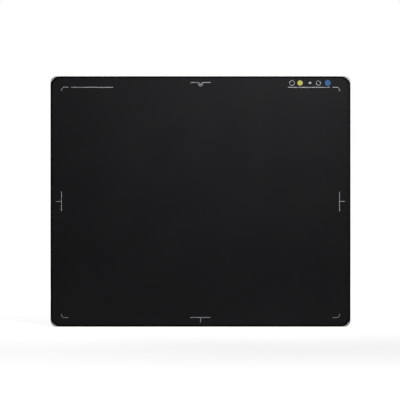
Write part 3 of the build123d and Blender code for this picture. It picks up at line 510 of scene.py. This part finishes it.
phosphor_yellow, phosphor_white = (0.78, 0.76, 0.55), (0.82, 0.82, 0.76)
status_lamp = Finish("led_white", Roughness=0.3)
phosphor = status_lamp.noise(0.4 * MM)
status_lamp.colour(status_lamp.blend(phosphor, phosphor_yellow, phosphor_white))
status_lamp.bump(phosphor, 0.002 * MM)
print("light guides and lamps ready")

# %% Sensor glass
def stripes(distance, pitch, gap):
    """1 on the stripes and 0 in the gaps, which take this share of each pitch."""
    return (distance / pitch).maths("FRACT") > gap


cell_pitch = 0.9 * MM
line_share = 0.12
line_grey, cell_green = (0.30, 0.31, 0.30), (0.16, 0.20, 0.19)

glass = Finish("panel_glass")
glass_x, _, glass_z = glass.axes()
cell = stripes(glass_x, cell_pitch, line_share) * stripes(glass_z, cell_pitch, line_share)
glass.colour(glass.blend(cell, line_grey, cell_green))
glass.roughness(0.1 + glass.noise(30 * MM) * 0.08)
print("cells", round(cell_pitch / MM, 2), "mm apart")

# %% [markdown]
# ## Circuit boards and flexible circuits
#
# A board is glass cloth under green lacquer, with copper tracks that show as slightly
# lighter lines. Coordinates rounded down number the patches of a chequerboard, and turning
# the tracks in every other patch gives runs that change direction, as on a routed board. A
# flexible circuit is amber film over fine parallel copper, all in one direction.

# %% Circuit boards
patch_width, patch_height = 13 * MM, 11 * MM
track_pitch = 1.3 * MM
lacquer_green, track_green = (0.012, 0.085, 0.045), (0.030, 0.150, 0.080)

board = Finish("circuit_board")
board_x, _, board_z = board.axes()
patch = (board_x / patch_width).maths("FLOOR") + (board_z / patch_height).maths("FLOOR")
turned = stripes(patch, 2, 0.25)
run = turned * board_x + (1 - turned) * board_z
track = stripes(run, track_pitch, 0.55)
board.colour(board.blend(track, lacquer_green, track_green))
board.bump(track, 0.02 * MM)
board.roughness(0.34 + board.noise(12 * MM) * 0.12)
print("tracks", round(track_pitch / MM, 2), "mm apart")

# %% Flexible circuits
wire_pitch = 0.8 * MM
film_amber, copper_amber = (0.36, 0.15, 0.03), (0.52, 0.26, 0.06)

film = Finish("flex_film")
film_x, _, film_z = film.axes()
copper = stripes(film_x + film_z, wire_pitch, 0.5)
film.colour(film.blend(copper, film_amber, copper_amber))
film.bump(copper, 0.01 * MM)
film.roughness(0.3 + film.noise(8 * MM) * 0.1)
print(len(finishes), "of", len(recorded), "finishes; missing", sorted(set(recorded) - set(finishes)))

# %% [markdown]
# ## Every solid gets its finish
#
# The record says which material slot each solid takes. The loop sets that finish on every
# node, seen or hidden, so that nothing keeps the plain grey it was imported with.

# %% Put the finishes on the solids
slot_of = {part["node"]: part["material_slot"] for part in frame["record"]["subparts"]}
body_of = {node: body for body, nodes in frame["record"]["behaviour"]["bodies"].items() for node in nodes}
for node, solid in frame["nodes"].items():
    solid.data.materials.clear()
    solid.data.materials.append(finishes[slot_of[node]].material)
print("finishes set on", len(slot_of), "solids")

# %% [markdown]
# ## Smooth copies of the outer pieces
#
# The solids arrive as loose triangles, so every round corner would show flat facets. A copy
# with its doubled corners merged can be shaded smooth. Edges that turn more than 30 degrees
# stay sharp, and weighting the shading by face area keeps the large flat faces flat right
# up to their round corners. A piece that fingers touch also gets a narrow rounding along
# its sharp edges, from a Bevel modifier.

# %% Helpers for any piece
sharp_turn = math.radians(30)


def add_object(name, data):
    """A new object at the origin, put in the scene."""
    made = bpy.data.objects.new(name, data)
    bpy.context.scene.collection.objects.link(made)
    return made


def weigh_shading(piece):
    """Let large faces decide the shading of the corners they share."""
    weigh = piece.modifiers.new("Weighted shading", "WEIGHTED_NORMAL")
    weigh.keep_sharp = True


def round_edges(piece, radius):
    """A narrow rounding along every sharp edge."""
    rounding = piece.modifiers.new("Soft edges", "BEVEL")
    rounding.width = radius
    rounding.segments = 2
    rounding.limit_method = "ANGLE"
    rounding.angle_limit = sharp_turn
    rounding.use_clamp_overlap = True


print("edges stay sharp from", round(math.degrees(sharp_turn)), "degrees")

# %% The copying helper
merge_distance = 0.001 * MM
flat_turn = math.radians(0.3)


def smooth_copy(node, name, soften=0.0):
    """A merged copy of a solid, shaded smooth, which is shown in its place."""
    mesh = frame["nodes"][node].data.copy()
    mesh.name = name
    shape = bmesh.new()
    shape.from_mesh(mesh)
    bmesh.ops.remove_doubles(shape, verts=shape.verts, dist=merge_distance)
    bmesh.ops.dissolve_limit(
        shape, angle_limit=flat_turn, verts=shape.verts, edges=shape.edges, delimit={"NORMAL"}
    )
    for face in shape.faces:
        face.smooth = True
    for edge in shape.edges:
        edge.smooth = edge.is_manifold and edge.calc_face_angle(0.0) < sharp_turn
    shape.to_mesh(mesh)
    shape.free()
    piece = add_object(name, mesh)
    if soften:
        round_edges(piece, soften)
    weigh_shading(piece)
    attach(piece, body_of[node])
    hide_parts(node)
    print(node, "->", name, "with", len(mesh.polygons), "faces")
    return piece


print("doubled corners merge within", round(merge_distance / MM, 3), "mm")

# %% Copies of the frame and the back
smooth_copy("side_frame", "frame")
smooth_copy("rear_cover", "back_shell")
smooth_copy("battery_bay", "bay_tray")
smooth_copy("antenna_windows", "radio_windows")
smooth_copy("rear_cover_screws", "back_screws")

# %% [markdown]
# ## The battery, its locks and the contacts
#
# The battery is a flat case with a lid that closes flush with the back. Two locks slide over
# its metal strikes, and gold pads meet the pins in the bay. The lid and the locks are
# handled each time the battery is changed, so their edges are rounded and catch a thin line
# of light. The pieces that show only with the battery out keep their crisp edges.

# %% Copies of the battery, the locks and the contacts
smooth_copy("battery_cover", "battery_lid", soften=0.2 * MM)
smooth_copy("battery_tray", "battery_case")
smooth_copy("battery_screws", "battery_lid_screws")
smooth_copy("battery_contacts", "battery_pads")
smooth_copy("lock_strikes", "battery_strikes")
smooth_copy("lock_slider_left", "left_lock_pad", soften=0.12 * MM)
smooth_copy("lock_slider_right", "right_lock_pad", soften=0.12 * MM)
smooth_copy("contact_block", "bay_contact_block")
smooth_copy("contact_pins", "bay_contact_pins")

# %% [markdown]
# ## Small pieces on the right side
#
# The right side has two keys, three status lights and a socket for a lead that is held by
# magnets. They are only a few millimetres wide, so the rounding of their edges is most of
# what shows of them.

# %% Copies of the side's pieces
smooth_copy("tether_socket", "side_socket", soften=0.1 * MM)
smooth_copy("tether_pins", "side_socket_pins")
smooth_copy("power_button", "power_key_cap", soften=0.2 * MM)
smooth_copy("link_button", "link_key_cap", soften=0.2 * MM)
smooth_copy("status_light_guides", "status_lights")

# %% [markdown]
# ## Domes that give under the keys
#
# Under each key sits a small silicone dome that buckles when the key is pressed, which is the click that a
# finger feels. The joint moves the key but not the dome, and each dome is a smooth copy with a mesh of its
# own.

# %% The two domes
def key_dome(node, name):
    """A smooth copy of a dome, with a mesh of its own."""
    piece = smooth_copy(node, name)
    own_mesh(piece)


key_dome("power_button_dome", "power_dome")
key_dome("link_button_dome", "link_dome")

# %% [markdown]
# ## The printed marks
#
# The marks are a film of ink only a few hundredths of a millimetre thick. They are solids
# in the model, so they only need their corners merged to shade well.

# %% Copies of the marks
smooth_copy("alignment_marks", "printed_marks")
smooth_copy("indicator_dots", "printed_spots")

# %% [markdown]
# ## The front plate
#
# The plate is a slab with round corners and a soft front edge, the one shape that every
# photograph of a detector shows. It could be drawn as a curve and filled, but a cube that
# is bevelled twice is shorter: first the four edges that run from front to back, which
# gives the round corners, and then the rim of the front.

# %% Helpers for modelling
nearly_parallel = 0.99


def block(shape, low, high):
    """A cube stretched between two corners."""
    corners = bmesh.ops.create_cube(shape, size=1.0)["verts"]
    bmesh.ops.scale(shape, vec=high - low, verts=corners)
    bmesh.ops.translate(shape, vec=(low + high) / 2, verts=corners)


def edges_along(shape, axis):
    """The edges of a shape that run along its x, y or z axis."""
    found = []
    for edge in shape.edges:
        direction = (edge.verts[1].co - edge.verts[0].co).normalized()
        if abs(getattr(direction, axis)) > nearly_parallel:
            found.append(edge)
    return found


def bevel(shape, edges, size, segments):
    """Round some edges of a shape."""
    bmesh.ops.bevel(
        shape, geom=edges, offset=size, segments=segments, affect="EDGES", profile=0.5, material=-1,
        offset_type="OFFSET", clamp_overlap=True,
    )


def make_piece(name, shape):
    """An object from a finished shape, with smooth faces."""
    for face in shape.faces:
        face.smooth = True
    mesh = bpy.data.meshes.new(name)
    shape.to_mesh(mesh)
    shape.free()
    print(name, "has", len(mesh.polygons), "faces")
    return add_object(name, mesh)


print("modelling helpers ready")

# %% Model the front plate
corner_segments = 14
rim_radius = 0.5 * MM
edge_segments = 4
on_front = 0.01 * MM

plate = bmesh.new()
block(plate, cover_low, cover_high)
bevel(plate, edges_along(plate, "y"), cover_corner, corner_segments)
rim = [edge for edge in plate.edges if all(abs(v.co.y - cover_low.y) < on_front for v in edge.verts)]
bevel(plate, rim, rim_radius, edge_segments)

front_plate = make_piece("front_plate", plate)
weigh_shading(front_plate)
front_plate.data.materials.append(satin.material)
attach(front_plate, "housing")
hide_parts("front_cover")

# %% [markdown]
# ## Grip ribs in the finger grooves
#
# Fingers need something to hold, so the mould leaves a row of low ribs on each groove's
# floor. They catch light and cast shadow, so they are modelled and not drawn by a bump: one
# rib is a bar with round edges, an Array modifier repeats it up the groove, and a Mirror
# modifier makes the row of the other groove. The bars are sunk a little into the walls and
# the floor, as one moulding would be.

# %% Model one rib
groove_low, groove_high = 137 * MM, 247 * MM
groove_floor = 5.5 * MM
rib_pitch = 3 * MM
rib_thickness = 1.5 * MM
rib_height = 0.6 * MM
rib_rounding = 0.4 * MM
sunk = 0.3 * MM

straight = groove_high - groove_low - groove_width
rib_count = round(straight / rib_pitch)
first_rib = (groove_low + groove_high) / 2 - (rib_count - 1) / 2 * rib_pitch
spread = Vector((groove_width / 2 + sunk, 0, rib_thickness / 2))
rib_low = Vector((groove_middle, groove_floor - sunk, first_rib)) - spread
rib_high = Vector((groove_middle, groove_floor + rib_height, first_rib)) + spread

rib = bmesh.new()
block(rib, rib_low, rib_high)
bevel(rib, edges_along(rib, "x"), rib_rounding, edge_segments)
grip_ribs = make_piece("grip_ribs", rib)

# %% Repeat and mirror it
row = grip_ribs.modifiers.new("Row", "ARRAY")
row.count = rib_count
row.use_relative_offset = False
row.use_constant_offset = True
row.constant_offset_displace = (0.0, 0.0, rib_pitch)
other_groove = grip_ribs.modifiers.new("Other groove", "MIRROR")
other_groove.use_mirror_merge = False
weigh_shading(grip_ribs)
grip_ribs.data.materials.append(rear_shell.material)
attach(grip_ribs, "housing")
print(rib_count, "ribs in each groove")

# %% [markdown]
# ## A plain studio floor
#
# The floor is matt and pale. To the camera it also glows, a little less near the detector
# and fully further out, so that it reaches the white of the background and only the soft
# shadow at the foot shows. Polished surfaces see that white behind the detector and not in
# front of it, as in a studio whose dark side is what keeps a black front black. The glow
# depends on the kind of ray, so it shows to the camera and in mirrors but lights nothing.

# %% What sees the white
black, white = (0.0, 0.0, 0.0), (1.0, 1.0, 1.0)
turnover = 0.3


def sees_white(recipe, depth):
    """1 for the camera, and for mirrors and glass that look to where the depth is above 0."""
    rays = recipe.add("ShaderNodeLightPath")
    camera_ray, glossy_ray, clear_ray = rays.outputs("Is Camera Ray", "Is Glossy Ray", "Is Transmission Ray")
    behind = recipe.soft_step(depth, -turnover, turnover)
    return (camera_ray + (glossy_ray + clear_ray) * behind).maths("MINIMUM", 1.0)


print("mirrors see all the white from", turnover, "m behind the detector")

# %% The floor
floor_reach = 6.0
floor_drop = 0.1 * MM
floor_grey = (0.34, 0.34, 0.34)
near_glow = 0.72
glow_rises, glow_full = 0.4, 1.5

ground = bmesh.new()
bmesh.ops.create_grid(ground, x_segments=1, y_segments=1, size=floor_reach)
bmesh.ops.translate(ground, vec=(0, 0, -floor_drop), verts=ground.verts)
floor = make_piece("studio_floor", ground)

pale = Finish("studio_floor", Roughness=0.9, Specular_IOR_Level=0.0, Emission_Strength=1.0)
pale.colour(floor_grey)
floor_x, floor_y, _ = pale.axes()
away = (floor_x * floor_x + floor_y * floor_y).maths("SQRT")
glow = near_glow + (1 - near_glow) * pale.soft_step(away, glow_rises, glow_full)
pale.give("Emission Color", pale.blend(sees_white(pale, floor_y) * glow, black, white))
floor.data.materials.append(pale.material)
print("floor", round(floor.dimensions.x, 1), "m across")

# %% [markdown]
# ## The air around it
#
# The world is white to the camera. Its own light is dim, because the lamps do the lighting,
# and mirrors see it white only behind the detector, as they see the floor. A world has no
# surface, so its Generated coordinates are the direction that a ray looks in.

# %% The world
dim_air = (0.08, 0.081, 0.083)

world = bpy.data.worlds.new("studio")
bpy.context.scene.world = world
world.use_nodes = True
air = Recipe(world.node_tree)
heading = air.add("ShaderNodeTexCoord", output="Generated")
_, heading_y, _ = air.split(heading)
background = world.node_tree.nodes["Background"]
air.feed(background.inputs["Color"], air.blend(sees_white(air, heading_y), dim_air, white))
print("world ready")

# %% [markdown]
# ## Soft lamps
#
# The key lamp hangs close to the detector, in front of it and up to the right. Its nearness
# makes the front fade from the top right corner to the bottom left, as it does in the
# photograph, and a cone aimed above the top edge deepens that fade. Weak fills stand far to
# the left and right and show the sides, a lamp behind shows the back, and one overhead
# draws the soft shadow at the foot.

# %% The lamps
def lamp_at(name, place, target, size, watts, cone=math.pi):
    """A square area lamp at a place, turned to face a target, with its light held to a cone."""
    data = bpy.data.lights.new(name, "AREA")
    data.size = size
    data.energy = watts
    data.spread = cone
    lamp = add_object(name, data)
    lamp.location = place
    line = Vector(target) - Vector(place)
    lamp.rotation_euler = line.to_track_quat("-Z", "Y").to_euler()
    print(name, "lamp,", watts, "W,", round(line.length, 2), "m away")


lamp_at("key", (0.38, -0.95, 1.25), (0.1, 0.0, 0.49), 0.5, 4.1, math.radians(56))
lamp_at("left fill", (-1.9, -1.2, 0.9), (0.0, 0.0, 0.2), 1.2, 9.0)
lamp_at("right fill", (1.9, -0.4, 0.9), (0.0, 0.0, 0.2), 1.2, 12.0)
lamp_at("back", (-0.7, 1.8, 1.2), (0.0, 0.0, 0.25), 1.2, 8.0, math.radians(70))
lamp_at("overhead", (0.0, -0.1, 1.7), (0.0, 0.0, 0.0), 1.2, 4.0)

# %% [markdown]
# ## The camera
#
# The photograph looks straight at the front from far away, so the outline is a true
# rectangle with no sides in view. A long lens from about 3.4 metres gives the same view. The
# distance follows from the width that the picture takes in at the front face, and the
# camera is aimed a little above the detector's middle, where the picture's middle lies.

# %% Place the camera
picture_width = 0.6129
picture_middle_x, picture_middle_z = -0.77 * MM, 194.2 * MM
front_face = -7.5 * MM
lens = 200.0
sensor_width = 36.0

camera_data = bpy.data.cameras.new("camera")
camera_data.lens = lens
camera_data.sensor_width = sensor_width
camera = add_object("camera", camera_data)
camera.location = (picture_middle_x, front_face - picture_width * lens / sensor_width, picture_middle_z)
camera.rotation_euler = (math.radians(90), 0, 0)
bpy.context.scene.camera = camera
bpy.context.scene.view_settings.view_transform = "Standard"
print("camera", round(-camera.location.y, 3), "m in front")
